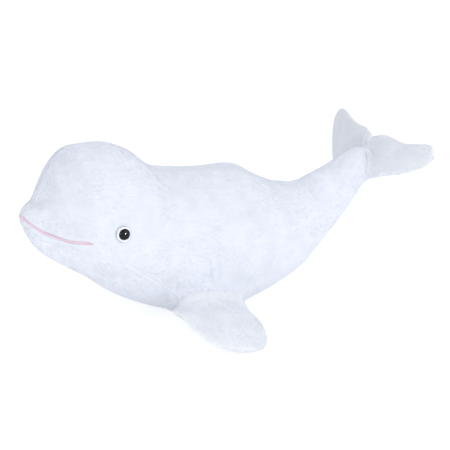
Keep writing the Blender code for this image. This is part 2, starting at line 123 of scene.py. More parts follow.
def through(stops, values, at):
    """A smooth curve through the stops that makes no bump of its own between them."""
    stops, values = np.asarray(stops, float), np.asarray(values, float)
    step = np.diff(stops)
    slope = np.diff(values) / step
    tangent = np.zeros(len(stops))
    tangent[0], tangent[-1] = slope[0], slope[-1]
    for i in range(1, len(slope)):
        if slope[i - 1] * slope[i] > 0:
            tangent[i] = 2 * slope[i - 1] * slope[i] / (slope[i - 1] + slope[i])
    i = np.clip(np.searchsorted(stops, at, side="right") - 1, 0, len(step) - 1)
    t = (at - stops[i]) / step[i]
    bend = t * t * (3 - 2 * t)
    return (values[i] * (1 - bend) + values[i + 1] * bend
            + step[i] * tangent[i] * t * (1 - t) ** 2 - step[i] * tangent[i + 1] * t * t * (1 - t))


def eased(values, reach):
    """The same run of values with its kinks rounded over a number of neighbours, both ends kept."""
    spread = np.exp(-0.5 * (np.arange(-3 * reach, 3 * reach + 1) / reach) ** 2)
    spread /= spread.sum()
    before = 2 * values[0] - values[3 * reach:0:-1]
    after = 2 * values[-1] - values[-2:-3 * reach - 2:-1]
    return np.convolve(np.concatenate((before, values, after)), spread, "valid")


sizes = (body_length, body_height, body_length, body_height, body_half_width, 1, 1)
section_count = len(body_shares)
close_rows = np.linspace(0, section_count - 1, 1601)
sections = np.stack([through(np.arange(section_count), column, close_rows)
                     for column in (body_shares * sizes).T])
middles = np.stack(((sections[0] + sections[2]) / 2, (sections[1] + sections[3]) / 2))
least_step, even_count, kink_rounding = 2e-5, 901, 9
run = np.concatenate(((0,), np.cumsum(np.linalg.norm(np.diff(middles), axis=0) + least_step)))
even_run = np.linspace(0, run[-1], even_count)
row_at = np.interp(even_run, run, close_rows)
sections = np.stack([eased(np.interp(even_run, run, column), kink_rounding) for column in sections])


def body_skin(row, turn_deg):
    """Points of the stuffed shell; 90 degrees is the back seam, 180 the left side, 270 the belly."""
    row, turn = np.broadcast_arrays(np.asarray(row, float), np.radians(turn_deg))
    place = np.interp(row, row_at, np.arange(len(row_at)))
    top_x, top_z, low_x, low_z, half, widest, square = (np.interp(place, np.arange(len(row_at)), column)
                                                        for column in sections)
    across, upward = np.cos(turn), np.sin(turn)
    y = half * np.sign(across) * np.abs(across) ** (2 / square)
    lift = np.abs(upward) ** (2 / square)
    mid_x = low_x + (top_x - low_x) * widest
    mid_z = low_z + (top_z - low_z) * widest
    over = upward > 0
    x = mid_x + lift * np.where(over, top_x - mid_x, low_x - mid_x)
    z = mid_z + lift * np.where(over, top_z - mid_z, low_z - mid_z)
    return np.stack((x + snout_x, y, z - sit_depth), -1)


def shell_grid(rows, columns):
    """The shell as a grid of rings, evenly spaced along the body and round it."""
    places = np.linspace(0, len(row_at) - 1, rows)
    body_rows = np.interp(places, np.arange(len(row_at)), row_at)
    body_turns = 90 + 360 * np.arange(columns) / columns
    return body_skin(body_rows[:, None], body_turns[None, :])


def grid_normals(grid):
    """Outward directions at the points of a grid of closed rings."""
    along = np.gradient(grid, axis=0)
    around = np.roll(grid, -1, axis=1) - np.roll(grid, 1, axis=1)
    out = np.cross(around, along)
    out /= np.maximum(np.linalg.norm(out, axis=-1, keepdims=True), 1e-12)
    outwards = np.sum(out * (grid - grid.mean(axis=1, keepdims=True)))
    return out * np.sign(outwards)


def nearest_on_line(points, line):
    """How far each point lies from a line of stops, and how far along the line, from 0 to 1."""
    flat = points.reshape(-1, 3)
    best = np.full(len(flat), 1e9)
    share = np.zeros(len(flat))
    lengths = np.linalg.norm(np.diff(line, axis=0), axis=1)
    ends = np.concatenate(((0,), np.cumsum(lengths))) / lengths.sum()
    for a, b, start, end in zip(line, line[1:], ends, ends[1:]):
        way = b - a
        t = np.clip((flat - a) @ way / max(way @ way, 1e-12), 0, 1)
        away = np.linalg.norm(flat - a - t[:, None] * way, axis=1)
        closer = away < best
        best[closer] = away[closer]
        share[closer] = (start + (end - start) * t)[closer]
    return best.reshape(points.shape[:-1]), share.reshape(points.shape[:-1])


def ramp(share):
    """A soft step from 0 to 1 as the share goes from 0 to 1."""
    share = np.clip(share, 0, 1)
    return share * share * (3 - 2 * share)


def crease(points, line, width, depth, fade, shoulder=0.0):
    """Depth of a fold along a line: deepest at its middle, fading to its ends, with raised shoulders."""
    away, share = nearest_on_line(points, line)
    ends = ramp(np.minimum(share, 1 - share) / fade)
    shoulder_away, shoulder_width = 2.4 * width, 1.3 * width
    return ends * (-depth * np.exp(-(away / width) ** 2)
                   + shoulder * np.exp(-((away - shoulder_away) / shoulder_width) ** 2))


def nearest_indices(points, places):
    """For each place, the index of the point that lies nearest to it."""
    return [int(np.argmin(np.linalg.norm(points - place, axis=1))) for place in places]


def spline(grid, places, axis, closed):
    """The grid drawn finer along one axis, its bends kept round."""
    grid = np.moveaxis(grid, axis, 0)
    count = len(grid)
    i = np.floor(places).astype(int)
    if not closed:
        i = np.clip(i, 0, count - 2)
    t = (places - i).reshape((-1,) + (1,) * (grid.ndim - 1))

    def pick(k):
        return grid[k % count] if closed else grid[np.clip(k, 0, count - 1)]
    a, b, c, d = pick(i - 1), pick(i), pick(i + 1), pick(i + 2)
    fine = 0.5 * (2 * b + (c - a) * t + (2 * a - 5 * b + 4 * c - d) * t ** 2
                  + (3 * b - a - 3 * c + d) * t ** 3)
    return np.moveaxis(fine, 0, axis)


def finer(grid, rows, columns):
    """A grid of closed rings drawn with more rows and columns."""
    grid = spline(grid, np.linspace(0, len(grid) - 1, rows), 0, False)
    return spline(grid, np.arange(columns) * grid.shape[1] / columns, 1, True)


def stuffed_mesh(name, grid):
    """A closed skin over a grid of rings, its two ends drawn shut, faces outwards."""
    rows, columns = grid.shape[:2]
    points = np.concatenate((grid.reshape(-1, 3), grid[:1].mean(axis=1), grid[-1:].mean(axis=1)))
    index = np.arange(rows * columns).reshape(rows, columns)
    after = np.roll(index, -1, axis=1)
    quads = np.stack((index[:-1], after[:-1], after[1:], index[1:]), -1).reshape(-1, 4)
    faces = quads.tolist()
    faces += [[rows * columns, int(b), int(a)] for a, b in zip(index[0], after[0])]
    faces += [[rows * columns + 1, int(a), int(b)] for a, b in zip(index[-1], after[-1])]
    mesh = bpy.data.meshes.new(name)
    mesh.from_pydata(points.tolist(), [], faces)
    work = bmesh.new()
    work.from_mesh(mesh)
    bmesh.ops.recalc_face_normals(work, faces=work.faces)
    if work.calc_volume(signed=True) < 0:
        bmesh.ops.reverse_faces(work, faces=work.faces)
    work.to_mesh(mesh)
    work.free()
    mesh.shade_smooth()
    return in_scene(name, mesh)


def swelled(name, grid, hold, pressure, slack, cap):
    """Blows the cloth grid up as stuffing does and returns how far each of its points moved."""
    cloth_piece = stuffed_mesh(name, grid)
    held = cloth_piece.vertex_groups.new(name="held")
    for index, weight in enumerate(np.concatenate((hold.ravel(), (1.0, 1.0)))):
        held.add([index], float(weight), "REPLACE")
    cloth = cloth_piece.modifiers.new("stuffing", "CLOTH")
    cloth.settings.quality = 6
    cloth.settings.mass = 0.3
    cloth.settings.tension_stiffness = cloth.settings.compression_stiffness = 20
    cloth.settings.bending_stiffness = 1.5
    cloth.settings.shrink_min = -slack
    cloth.settings.use_pressure = True
    cloth.settings.uniform_pressure_force = pressure
    cloth.settings.vertex_group_mass = held.name
    cloth.settings.effector_weights.gravity = 0
    cloth.collision_settings.use_collision = False
    for step in range(1, 21):
        bpy.context.scene.frame_set(step)
    settled = cloth_piece.evaluated_get(bpy.context.evaluated_depsgraph_get()).data
    points = np.empty(len(settled.vertices) * 3)
    settled.vertices.foreach_get("co", points)
    moved = points.reshape(-1, 3)[:-2].reshape(grid.shape) - grid
    bpy.data.objects.remove(cloth_piece, do_unlink=True)
    bpy.context.scene.frame_set(1)
    length = np.linalg.norm(moved, axis=-1, keepdims=True)
    return moved * np.minimum(1, cap / np.maximum(length, 1e-9))


def calmed(field, rounds):
    """The same field over a grid of rings with its small lumps smoothed away."""
    for _ in range(rounds):
        field = (2 * field + np.roll(field, 1, axis=1) + np.roll(field, -1, axis=1)) / 4
        padded = np.concatenate((field[:1], field, field[-1:]))
        field = (2 * field + padded[2:] + padded[:-2]) / 4
    return field


def snout_line(*stops):
    """A line on the whale, its stops measured back from the tip of the snout, in millimetres."""
    return np.array([(x / 1000 + snout_x, y / 1000, z / 1000 - sit_depth) for x, y, z in stops])


def eased_line(line, reach):
    """The same line with its kinks rounded over a number of neighbours."""
    return np.stack([eased(line[:, k], reach) for k in range(3)], -1)


def chin_seam(first, last, count):
    """Points along the chin and belly seam on the left side, from one section to another."""
    rows = np.linspace(first, last, count)
    return body_skin(rows, through(*seam_course.T, rows))


mouth_end, mouth_sag = 4.72, 0.0022
belly_seam = chin_seam(first=4.9, last=19.6, count=110)
mouth_line = eased_line(chin_seam(first=0.0, last=mouth_end, count=60), 4)
mouth_line[:, 2] -= mouth_sag * np.sin(math.pi * np.linspace(0, 1, len(mouth_line)))
back_seam = body_skin(np.linspace(0.3, 19.8, 120), 90.0)
eye_centre = np.array(sum(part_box("eye_rim_left"), Vector()) / 2)
joints = {joint["name"]: joint for joint in frame["joints"]}
flipper_middle = np.array(joints["flipper_left_root"]["pos_m"])
flipper_seam_way = -np.array(joints["flipper_left_root"]["axis"])
flipper_root_length = 0.0842
flipper_root_line = flipper_middle + np.outer(np.linspace(-0.5, 0.5, 9) * flipper_root_length,
                                              flipper_seam_way)

# The cloth is stuffed as a coarse skin, held fast at its seams, eyes, flipper roots, ends and floor.
sewn_in = 0.0006
loose_hold, seam_hold, seam_hold_width = 0.16, 0.5, 0.004
eye_hold_width, root_hold_width, floor_hold_height = 0.012, 0.010, 0.002
start = shell_grid(rows=121, columns=116)
start -= grid_normals(start) * sewn_in
left_seams = [belly_seam, mouth_line, back_seam]
hold = np.full(start.shape[:2], loose_hold)
for line in left_seams + [line * (1, -1, 1) for line in left_seams]:
    away, _ = nearest_on_line(start, line)
    hold = np.maximum(hold, seam_hold * np.exp(-(away / seam_hold_width) ** 2))
for side in (1, -1):
    away = np.linalg.norm(start - eye_centre * (1, side, 1), axis=-1)
    hold = np.maximum(hold, np.exp(-(away / eye_hold_width) ** 4))
    away, _ = nearest_on_line(start, flipper_root_line * (1, side, 1))
    hold = np.maximum(hold, np.exp(-(away / root_hold_width) ** 4))
hold[start[..., 2] < floor_hold_height] = 1
hold[:2] = hold[-4:] = 1
moved = calmed(swelled("body_cloth", start, hold, pressure=3.0, slack=0.008, cap=0.0025), rounds=6)
drawn = shell_grid(rows=401, columns=380)
shell = drawn - grid_normals(drawn) * sewn_in + finer(moved, *drawn.shape[:2])

# Folds on the neck, behind the flippers and on the cheeks: each one's line, width and depth.
body_folds = (
    (snout_line((142, -55, 143), (135, -61, 135), (128, -66, 122)), 0.0030, 0.0017),
    (snout_line((155, -50, 146), (152, -56, 138)), 0.0025, 0.0010),
    (snout_line((182, -71, 96), (187, -70, 70), (188, -65, 46)), 0.0026, 0.0018),
    (snout_line((193, -70, 104), (197, -69, 74), (198, -65, 46)), 0.0026, 0.0014),
    (snout_line((103, -68, 118), (106, -68, 109), (104, -67, 101)), 0.0026, 0.0011),
)
beak_side = ((24, 27, 152), (19, 19, 155), (14, 13, 156), (10, 6, 156.5))
beak_line = snout_line(*((x, -y, z) for x, y, z in beak_side), (8.5, 0, 157), *beak_side[::-1])
eye_seat_depth, eye_seat_radius = 0.0020, 0.0093
shoulder_rise, shoulder_width = 0.0030, 0.0115
shoulder_front, shoulder_front_share = 0.15, 0.3
flipper_out = np.cross(flipper_seam_way, np.cross((0, -1, -0.28), flipper_seam_way))
flipper_out /= np.linalg.norm(flipper_out)
dent = np.zeros(drawn.shape[:2])
for side in (1, -1):
    here = drawn * (1, side, 1)
    away, share = nearest_on_line(here, flipper_root_line)
    shoulder = shoulder_rise * np.exp(-(away / shoulder_width) ** 2)
    shoulder *= np.clip((1 - share) / shoulder_front + shoulder_front_share, 0, 1)
    shell = shell + shoulder[..., None] * flipper_out * (1, side, 1)
    dent += crease(here, belly_seam, width=0.0010, depth=0.0006, fade=0.04, shoulder=0.0005)
    dent += crease(here, mouth_line, width=0.0016, depth=0.0010, fade=0.10, shoulder=0.0003)
    for line, width, depth in body_folds:
        on_skin = here.reshape(-1, 3)[nearest_indices(here.reshape(-1, 3), line)]
        dent += crease(here, on_skin, width, depth, fade=0.45, shoulder=0.3 * depth)
    away = np.linalg.norm(here - eye_centre, axis=-1)
    dent -= eye_seat_depth * np.exp(-(away / eye_seat_radius) ** 12)
dent += crease(drawn, back_seam, width=0.0013, depth=0.0013, fade=0.02, shoulder=0.0009)
dent += crease(drawn, beak_line, width=0.0065, depth=0.0034, fade=0.30)
shell = shell + grid_normals(shell) * dent[..., None]
shell[..., 2] = np.maximum(shell[..., 2], 0.0)
body = stuffed_mesh("body_plush", shell)

# How thick the pile grows: thin along the seams, none at the eyes, the mouth and the belly's rest.
mouth_bare_width, thin_width, thinned_by, belly_bare_height = 0.0024, 0.0016, 0.5, 0.0045
pile_share = np.ones(drawn.shape[:2])
for side in (1, -1):
    here = drawn * (1, side, 1)
    away = np.linalg.norm(here - eye_centre, axis=-1)
    pile_share *= 1 - np.exp(-(away / eye_seat_radius) ** 12)
    pile_share *= 1 - np.exp(-(nearest_on_line(here, mouth_line)[0] / mouth_bare_width) ** 6)
    pile_share *= 1 - thinned_by * np.exp(-(nearest_on_line(here, belly_seam)[0] / thin_width) ** 2)
pile_share *= 1 - thinned_by * np.exp(-(nearest_on_line(drawn, back_seam)[0] / thin_width) ** 2)
pile_share[shell[..., 2] < belly_bare_height] = 0


# Plush cloth: a short white knitted pile with a cool cast. Its nap lies in soft patches, a shade
# lighter or darker, and its tufts catch the light at the edges.
def plush_material(name, colour, tuft_scale):
    """The look of the plush: patches of nap in two shades and fine tufts in relief."""
    darker, lighter, lightest = 0.93, 1.04, 0.96
    material = bpy.data.materials.new(name)
    material.use_nodes = True
    nodes, links = material.node_tree.nodes, material.node_tree.links
    shader = nodes["Principled BSDF"]
    shader.inputs["Roughness"].default_value = 0.95
    shader.inputs["Specular IOR Level"].default_value = 0.15
    shader.inputs["Sheen Weight"].default_value = 0.25
    shader.inputs["Sheen Roughness"].default_value = 0.6
    where = nodes.new("ShaderNodeTexCoord")
    nap = nodes.new("ShaderNodeTexNoise")
    nap.inputs["Scale"].default_value = 42
    nap.inputs["Detail"].default_value = 5
    nap.inputs["Roughness"].default_value = 0.62
    tuft = nodes.new("ShaderNodeTexNoise")
    tuft.inputs["Scale"].default_value = tuft_scale
    tuft.inputs["Detail"].default_value = 3
    shades = nodes.new("ShaderNodeValToRGB")
    shades.color_ramp.elements[0].position = 0.32
    shades.color_ramp.elements[0].color = (*(darker * c for c in colour), 1)
    shades.color_ramp.elements[1].position = 0.66
    shades.color_ramp.elements[1].color = (*(min(lighter * c, lightest) for c in colour), 1)
    mix = nodes.new("ShaderNodeMix")
    mix.inputs["Factor"].default_value = 0.4
    rough = nodes.new("ShaderNodeBump")
    rough.inputs["Strength"].default_value = 0.35
    rough.inputs["Distance"].default_value = 0.0008
    for texture in (nap, tuft):
        links.new(where.outputs["Object"], texture.inputs["Vector"])
    links.new(nap.outputs["Fac"], mix.inputs["A"])
    links.new(tuft.outputs["Fac"], mix.inputs["B"])
    links.new(mix.outputs["Result"], shades.inputs["Fac"])
    links.new(shades.outputs["Color"], shader.inputs["Base Color"])
    links.new(tuft.outputs["Fac"], rough.inputs["Height"])
    links.new(rough.outputs["Normal"], shader.inputs["Normal"])
    return material


white_plush = plush_material("white_plush", (0.82, 0.848, 0.915), 900)
# The flippers and fluke are the same cloth as the body. Their copy of the plush is painted a shade lighter
# and a little warmer: painted light, where they show brighter than the body.
limb_plush_painted_light = plush_material("limb_plush_painted_light", (0.885, 0.905, 0.945), 900)
body.data.materials.append(white_plush)
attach(body, "torso")
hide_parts("side_panel_left", "side_panel_right", "belly_panel", "head_stuffing", "trunk_stuffing",
            "rear_stuffing", "tail_stuffing")


# Flippers: two plush panels sewn round their edge, turned and stuffed, then sewn into the belly seam
# along a straight root. Each is a pillow, thickest before the middle, with a seam round its rim.
flipper_reach = 0.1020
# How far out, as a share of the reach, and there the front and rear edge as shares of the root.
flipper_shares = np.array([
    (-0.14, -0.23, 0.36), (0.00, -0.29, 0.39), (0.06, -0.41, 0.44), (0.16, -0.62, 0.52),
    (0.30, -0.74, 0.56), (0.46, -0.715, 0.530), (0.62, -0.685, 0.465), (0.77, -0.63, 0.375),
    (0.90, -0.53, 0.262), (0.97, -0.42, 0.142), (1.00, -0.28, 0.02), (1.012, -0.17, -0.08),
])
flipper_thickness = ((-0.14, 0.0, 0.2, 0.42, 0.65, 0.85, 0.97, 1.012),
                     (0.006, 0.0075, 0.0095, 0.0105, 0.0095, 0.0065, 0.0034, 0.0010))


def limb_grid(shares, reach, root_length, thickness, rows, columns):
    """Rings of a limb in its own frame: X out, Y along the root seam, Z up."""
    stops, lead_shares, trail_shares = shares.T
    even_part, crowded_part, rim_sharpness = 0.55, 0.45, 1.25
    spread = np.linspace(0, 1, rows)
    spread = spread * even_part + crowded_part * np.sin(spread * math.pi / 2)
    out = stops[0] + (stops[-1] - stops[0]) * spread
    lead, trail = (eased(through(stops, edge, out) * root_length, 2) for edge in (lead_shares, trail_shares))
    turns = 2 * math.pi * np.arange(columns) / columns
    middle, half_chord = (lead + trail) / 2, (trail - lead) / 2
    half = eased(np.interp(out, *thickness), 2)
    y = middle[:, None] + half_chord[:, None] * -np.cos(turns)
    z = half[:, None] * np.sign(np.sin(turns)) * np.abs(np.sin(turns)) ** rim_sharpness
    return np.stack((np.broadcast_to(out[:, None] * reach, y.shape), y, z), -1)


def placed(grid, origin, out, seam_way):
    """Takes a limb's grid from its own frame to its place on the body."""
    up = np.cross(out, seam_way)
    return origin + grid[..., :1] * out + grid[..., 1:2] * seam_way + grid[..., 2:] * up


def flared(grid):
    """Lifts the upper cloth of a flipper at its root, and lowers the front corner where it is sewn in."""
    flare_rise, flare_reach, flare_lost_in_front = 0.010, 0.030, 0.75
    drop_depth, drop_from, drop_reach, drop_lost_above = 0.014, 0.004, 0.040, 0.5
    upper_height, front_from, front_spread = 0.005, 0.010, 0.030
    sewn_reach, sewn_least, sewn_rest = 0.018, 0.1, 0.9
    out, y, z = (grid[..., k] for k in range(3))
    over = ramp(z / upper_height)
    front = ramp((-y - front_from) / front_spread)
    z = z + flare_rise * over * (1 - flare_lost_in_front * front) * (1 - ramp(out / flare_reach))
    front = front * (1 - drop_lost_above * over)
    sewn = sewn_least + sewn_rest * ramp(out / sewn_reach)
    z = z - drop_depth * sewn * front * (1 - ramp((out - drop_from) / drop_reach))
    return np.stack((out, y, z), -1)


def limb_stuffed(name, grid, reach, flatness, held_to, slack, cap):
    """Lays a limb's cloth a little flat, holds it by its root and blows it up as stuffing does."""
    pressure, held_fade, tip_hold = 4.0, 0.12, 0.02
    root_hold = np.clip(1.0 - (grid[:, 0, 0] / reach - held_to) / held_fade, tip_hold, 1)
    hold = np.repeat(root_hold[:, None], grid.shape[1], axis=1)
    flat = grid * (1, 1, flatness)
    return flat + swelled(name, flat, hold, pressure, slack, cap)


def rim_sewn(grid, depth):
    """Pinches the seam round a limb's rim; gives its skin and how thick the pile grows on it."""
    seam_width, rim_thinned_by, rim_thin_width = 0.0009, 0.7, 0.003
    columns = grid.shape[1]
    rim_turn = np.abs(np.sin(2 * math.pi * np.arange(columns) / columns)) * columns / (2 * math.pi)
    ring_step = np.linalg.norm(np.roll(grid, -1, axis=1) - grid, axis=-1)
    rim_away = rim_turn[None, :] * ring_step
    pinched = grid - grid_normals(grid) * (depth * np.exp(-(rim_away / seam_width) ** 2))[..., None]
    return pinched, 1 - rim_thinned_by * np.exp(-(rim_away / rim_thin_width) ** 2)


flipper_grid = limb_grid(flipper_shares, flipper_reach, flipper_root_length, flipper_thickness,
                         rows=46, columns=64)
flipper_grid = limb_stuffed("flipper_cloth", flared(flipper_grid), flipper_reach, flatness=0.80,
                            held_to=0.05, slack=0.02, cap=0.010)
flipper_fine, flipper_pile_share = rim_sewn(finer(flipper_grid, rows=150, columns=208), depth=0.0009)


def sewn_together(limb, reach):
    """Draws the cloth of the body and of a limb out where they meet, so that one runs into the other."""
    drawn_out, least_way = 0.25, 0.3
    depsgraph = bpy.context.evaluated_depsgraph_get()
    cloths = (body, limb)
    trees = [BVHTree.FromObject(cloth, depsgraph) for cloth in cloths]
    for cloth, other in zip(cloths, trees[::-1]):
        moves = []
        for vert in cloth.data.vertices:
            place, facing, _, away = other.find_nearest(vert.co, reach)
            if place is None:
                continue
            nearness = 1 - away / reach
            way = (1 - nearness / 2) * vert.normal + nearness / 2 * facing
            length = reach * nearness ** 2 * drawn_out / max(way.length_squared, least_way)
            moves.append((vert, way * length))
        for vert, move in moves:
            vert.co += move
            vert.co.z = max(vert.co.z, 0.0)


def pressed(cloth, folds, side):
    """Presses one side's folds into a finished skin; a depth below zero raises a ridge instead."""
    verts = cloth.data.vertices
    points, ways = np.empty(3 * len(verts)), np.empty(3 * len(verts))
    verts.foreach_get("co", points)
    cloth.data.vertex_normals.foreach_get("vector", ways)
    points, ways = points.reshape(-1, 3), ways.reshape(-1, 3)
    for line, width, depth in folds:
        shoulder = 0.1 * max(depth, 0)
        dent = crease(points, line * (1, side, 1), width, depth, fade=0.45, shoulder=shoulder)
        points += ways * dent[:, None]
    points[:, 2] = np.maximum(points[:, 2], 0)
    verts.foreach_set("co", points.ravel())
    cloth.data.update()


# Ridges and folds of the gathered cloth over the flipper's root: line, width and depth.
root_folds = (
    (snout_line((150, -63, 53), (163, -67, 60), (180, -70, 64)), 0.0042, -0.0016),
    (snout_line((160, -67, 50), (171, -71, 51), (182, -72, 52)), 0.0021, 0.0015),
    (snout_line((158, -75, 40), (171, -75, 43), (184, -76, 46)), 0.0024, 0.0014),
    (snout_line((152, -57, 37), (153, -62, 41), (157, -65, 44)), 0.0026, -0.0018),
)
flipper_droop, flipper_fillet = math.radians(14.8), 0.020
bend_inside, bend_outside = 0.006, 0.018
limbs = []
for side, name in ((1, "left"), (-1, "right")):
    seam_way = flipper_seam_way * (1, side, 1) * side
    out = np.array((0, -side * math.cos(flipper_droop), -math.sin(flipper_droop)))
    out -= seam_way * (out @ seam_way)
    out /= np.linalg.norm(out)
    middle = flipper_middle * (1, side, 1)
    flipper_skin = placed(flipper_fine * (1, side, 1), middle, out, seam_way)
    flipper = stuffed_mesh(f"flipper_{name}_plush", flipper_skin)
    sewn_together(flipper, flipper_fillet)
    for cloth in (body, flipper):
        pressed(cloth, root_folds, side)
    flipper.data.materials.append(limb_plush_painted_light)
    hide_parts(*(f"flipper_{name}_{part}" for part in ("upper_panel", "lower_panel", "stuffing")))
    bend_from, bend_to = tuple(middle - out * bend_inside), tuple(middle + out * bend_outside)
    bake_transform(flipper)
    flipper_nap = (0.9, -1.0 * side, -0.3)
    limbs.append((flipper, f"flipper_{name}", bend_from, bend_to, flipper_nap, flipper_pile_share))


# Fluke: two lobes of plush, each sewn round its edge and stuffed, joined to the blunt end of the tail
# and to each other in the notch. They spread sideways and lean back.
fluke_reach, fluke_root_length = 0.0920, 0.0484
fluke_shares = np.array([
    (-0.108, -0.47, 0.46), (-0.05, -0.47, 0.50), (0.00, -0.47, 0.55), (0.10, -0.42, 0.62),
    (0.24, -0.34, 0.63), (0.42, -0.25, 0.65), (0.60, -0.15, 0.72), (0.74, -0.01, 0.81),
    (0.85, 0.12, 0.86), (0.93, 0.26, 0.85), (0.98, 0.39, 0.78), (1.00, 0.50, 0.66), (1.008, 0.56, 0.60),
])
fluke_thickness = ((-0.108, 0.0, 0.2, 0.42, 0.65, 0.85, 0.97, 1.008),
                   (0.0078, 0.0088, 0.0092, 0.0085, 0.0070, 0.0050, 0.0028, 0.0010))
# The photographed lobes were sewn and filled a little unevenly: the left one is the narrower of the two.
# Each gives how its front and its rear edge depart from the shares above, at the same stops.
uneven_stops = (0.0, 0.20, 0.42, 0.62, 0.80, 1.0)
uneven_edges = {
    "left": ((-0.05, -0.03, 0.04, 0.09, 0.11, 0.05), (0.05, 0.06, 0.01, 0.00, 0.00, 0.02)),
    "right": ((-0.10, -0.38, -0.48, -0.42, -0.22, 0.00), (0.10, 0.05, 0.05, 0.06, 0.02, -0.04)),
}
# The groove between the lobes, and the ridge where a lobe is sewn to the tail: line, width and depth.
lobe_folds = (
    (snout_line((435, -2, 167), (438, -2.6, 169.3), (441, -3.8, 172.5), (445, -7.2, 179)), 0.0018, 0.0036),
    (snout_line((427, -8, 166), (423, -17, 154), (424, -21, 143), (427, -21, 132)), 0.0016, -0.0006),
)
fluke_lean_back, fluke_skew, fluke_fillet = math.radians(8), 0.07, 0.012
fluke_bend_reach = 0.018
fluke_fine, fluke_pile_share = {}, {}
for name, edges in uneven_edges.items():
    shares = fluke_shares.copy()
    for column, change in zip((1, 2), edges):
        shares[:, column] += through(uneven_stops, change, np.clip(shares[:, 0], 0, 1))
    fluke_grid = limb_grid(shares, fluke_reach, fluke_root_length, fluke_thickness, rows=46, columns=56)
    fluke_grid = limb_stuffed("fluke_cloth", fluke_grid, fluke_reach, flatness=0.82,
                              held_to=0.02, slack=0.012, cap=0.008)
    fluke_grid = finer(fluke_grid, rows=150, columns=184)
    fluke_fine[name], fluke_pile_share[name] = rim_sewn(fluke_grid, depth=0.0008)
for side, name in ((1, "left"), (-1, "right")):
    middle = np.array(joints[f"fluke_{name}_root"]["pos_m"])
    seam_way = -np.array(joints[f"fluke_{name}_root"]["axis"])
    forward = np.array((-seam_way[2], 0, seam_way[0])) * side
    out = np.array((0, -side * math.cos(fluke_lean_back), 0)) - forward * math.sin(fluke_lean_back)
    lobe = fluke_fine[name] * (1, side, 1)
    lobe[..., 1] -= fluke_skew * np.maximum(lobe[..., 0], 0)
    fluke = stuffed_mesh(f"fluke_{name}_plush", placed(lobe, middle, out, seam_way))
    sewn_together(fluke, fluke_fillet)
    for cloth in (body, fluke):
        pressed(cloth, lobe_folds, side)
    fluke.data.materials.append(limb_plush_painted_light)
    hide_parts(*(f"fluke_{name}_{part}" for part in ("upper_panel", "lower_panel", "stuffing")))
    bend_from, bend_to = tuple(middle), tuple(middle + out * fluke_bend_reach)
    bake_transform(fluke)
    fluke_nap = (0.5, -1.0 * side, 0.4)
    limbs.append((fluke, f"fluke_{name}", bend_from, bend_to, fluke_nap, fluke_pile_share[name]))


# Pile: the cloth's short fibres, a layer of fine strands combed back along the nap. It is thin along
# the seams and bare where the eyes, the mouth stitching and the floor press on it.
strand_length, strand_width = 0.0021, 0.00036
strand_mesh = bpy.data.meshes.new("one_strand")
strand_mesh.from_pydata([(strand_width / 2 * math.cos(t), strand_width / 2 * math.sin(t), 0)
                         for t in (0, 2 * math.pi / 3, 4 * math.pi / 3)] + [(0, 0, strand_length)],
                        [], [(2, 1, 0), (0, 1, 3), (1, 2, 3), (2, 0, 3)])
strand = bpy.data.objects.new("one_strand", strand_mesh)


def new_tree(name, inputs):
    """An empty tree from geometry to geometry, and its further inputs by their names."""
    tree = bpy.data.node_groups.new(name, "GeometryNodeTree")
    tree.interface.new_socket("Geometry", in_out="INPUT", socket_type="NodeSocketGeometry")
    tree.interface.new_socket("Geometry", in_out="OUTPUT", socket_type="NodeSocketGeometry")
    return tree, {label: tree.interface.new_socket(label, in_out="INPUT", socket_type=f"NodeSocket{kind}")
                  for label, kind in inputs}


pile_tree, pile_inputs = new_tree("short_pile", (("Strands per m2", "Float"), ("From x", "Float"),
                                                 ("To x", "Float"), ("Nap", "Vector"), ("Lift", "Float")))
nodes, links = pile_tree.nodes, pile_tree.links
entry = nodes.new("NodeGroupInput")


def attribute_read(name, kind):
    """What a mesh carries under this name, in the tree in hand."""
    read = nodes.new("GeometryNodeInputNamedAttribute")
    read.data_type = kind
    read.inputs["Name"].default_value = name
    return read.outputs["Attribute"]


def joined(kind, operation, *inputs):
    """One sum, product or comparison in the tree in hand, fed by sockets or plain values."""
    node = nodes.new(kind)
    node.operation = operation
    for socket, value in zip(node.inputs, inputs):
        if isinstance(value, bpy.types.NodeSocket):
            links.new(value, socket)
        else:
            socket.default_value = value
    return node.outputs[0]


here = nodes.new("GeometryNodeInputPosition").outputs["Position"]
split = nodes.new("ShaderNodeSeparateXYZ")
links.new(here, split.inputs["Vector"])
inside = joined("ShaderNodeMath", "MULTIPLY",
                joined("ShaderNodeMath", "GREATER_THAN", split.outputs["X"], entry.outputs["From x"]),
                joined("ShaderNodeMath", "LESS_THAN", split.outputs["X"], entry.outputs["To x"]))
density = joined("ShaderNodeMath", "MULTIPLY", inside, entry.outputs["Strands per m2"])
density = joined("ShaderNodeMath", "MULTIPLY", density, attribute_read("pile_share", "FLOAT"))
scatter = nodes.new("GeometryNodeDistributePointsOnFaces")
scatter.inputs["Seed"].default_value = 7
links.new(entry.outputs["Geometry"], scatter.inputs["Mesh"])
links.new(density, scatter.inputs["Density"])
swirl = nodes.new("ShaderNodeTexNoise")
swirl.inputs["Scale"].default_value = 55
swirl.inputs["Detail"].default_value = 2
links.new(here, swirl.inputs["Vector"])
stray = nodes.new("FunctionNodeRandomValue")
stray.data_type = "FLOAT_VECTOR"
stray.inputs["Min"].default_value = (-0.35, -0.35, -0.35)
stray.inputs["Max"].default_value = (0.35, 0.35, 0.35)
stray.inputs["Seed"].default_value = 11
patch = joined("ShaderNodeVectorMath", "MULTIPLY",
               joined("ShaderNodeVectorMath", "SUBTRACT", swirl.outputs["Color"], (0.5, 0.5, 0.5)),
               (1.5, 1.5, 1.5))
lie = joined("ShaderNodeVectorMath", "ADD", entry.outputs["Nap"], patch)
lie = joined("ShaderNodeVectorMath", "ADD", lie, stray.outputs["Value"])
along = joined("ShaderNodeVectorMath", "CROSS_PRODUCT", scatter.outputs["Normal"],
               joined("ShaderNodeVectorMath", "CROSS_PRODUCT", lie, scatter.outputs["Normal"]))
lifted = nodes.new("ShaderNodeVectorMath")
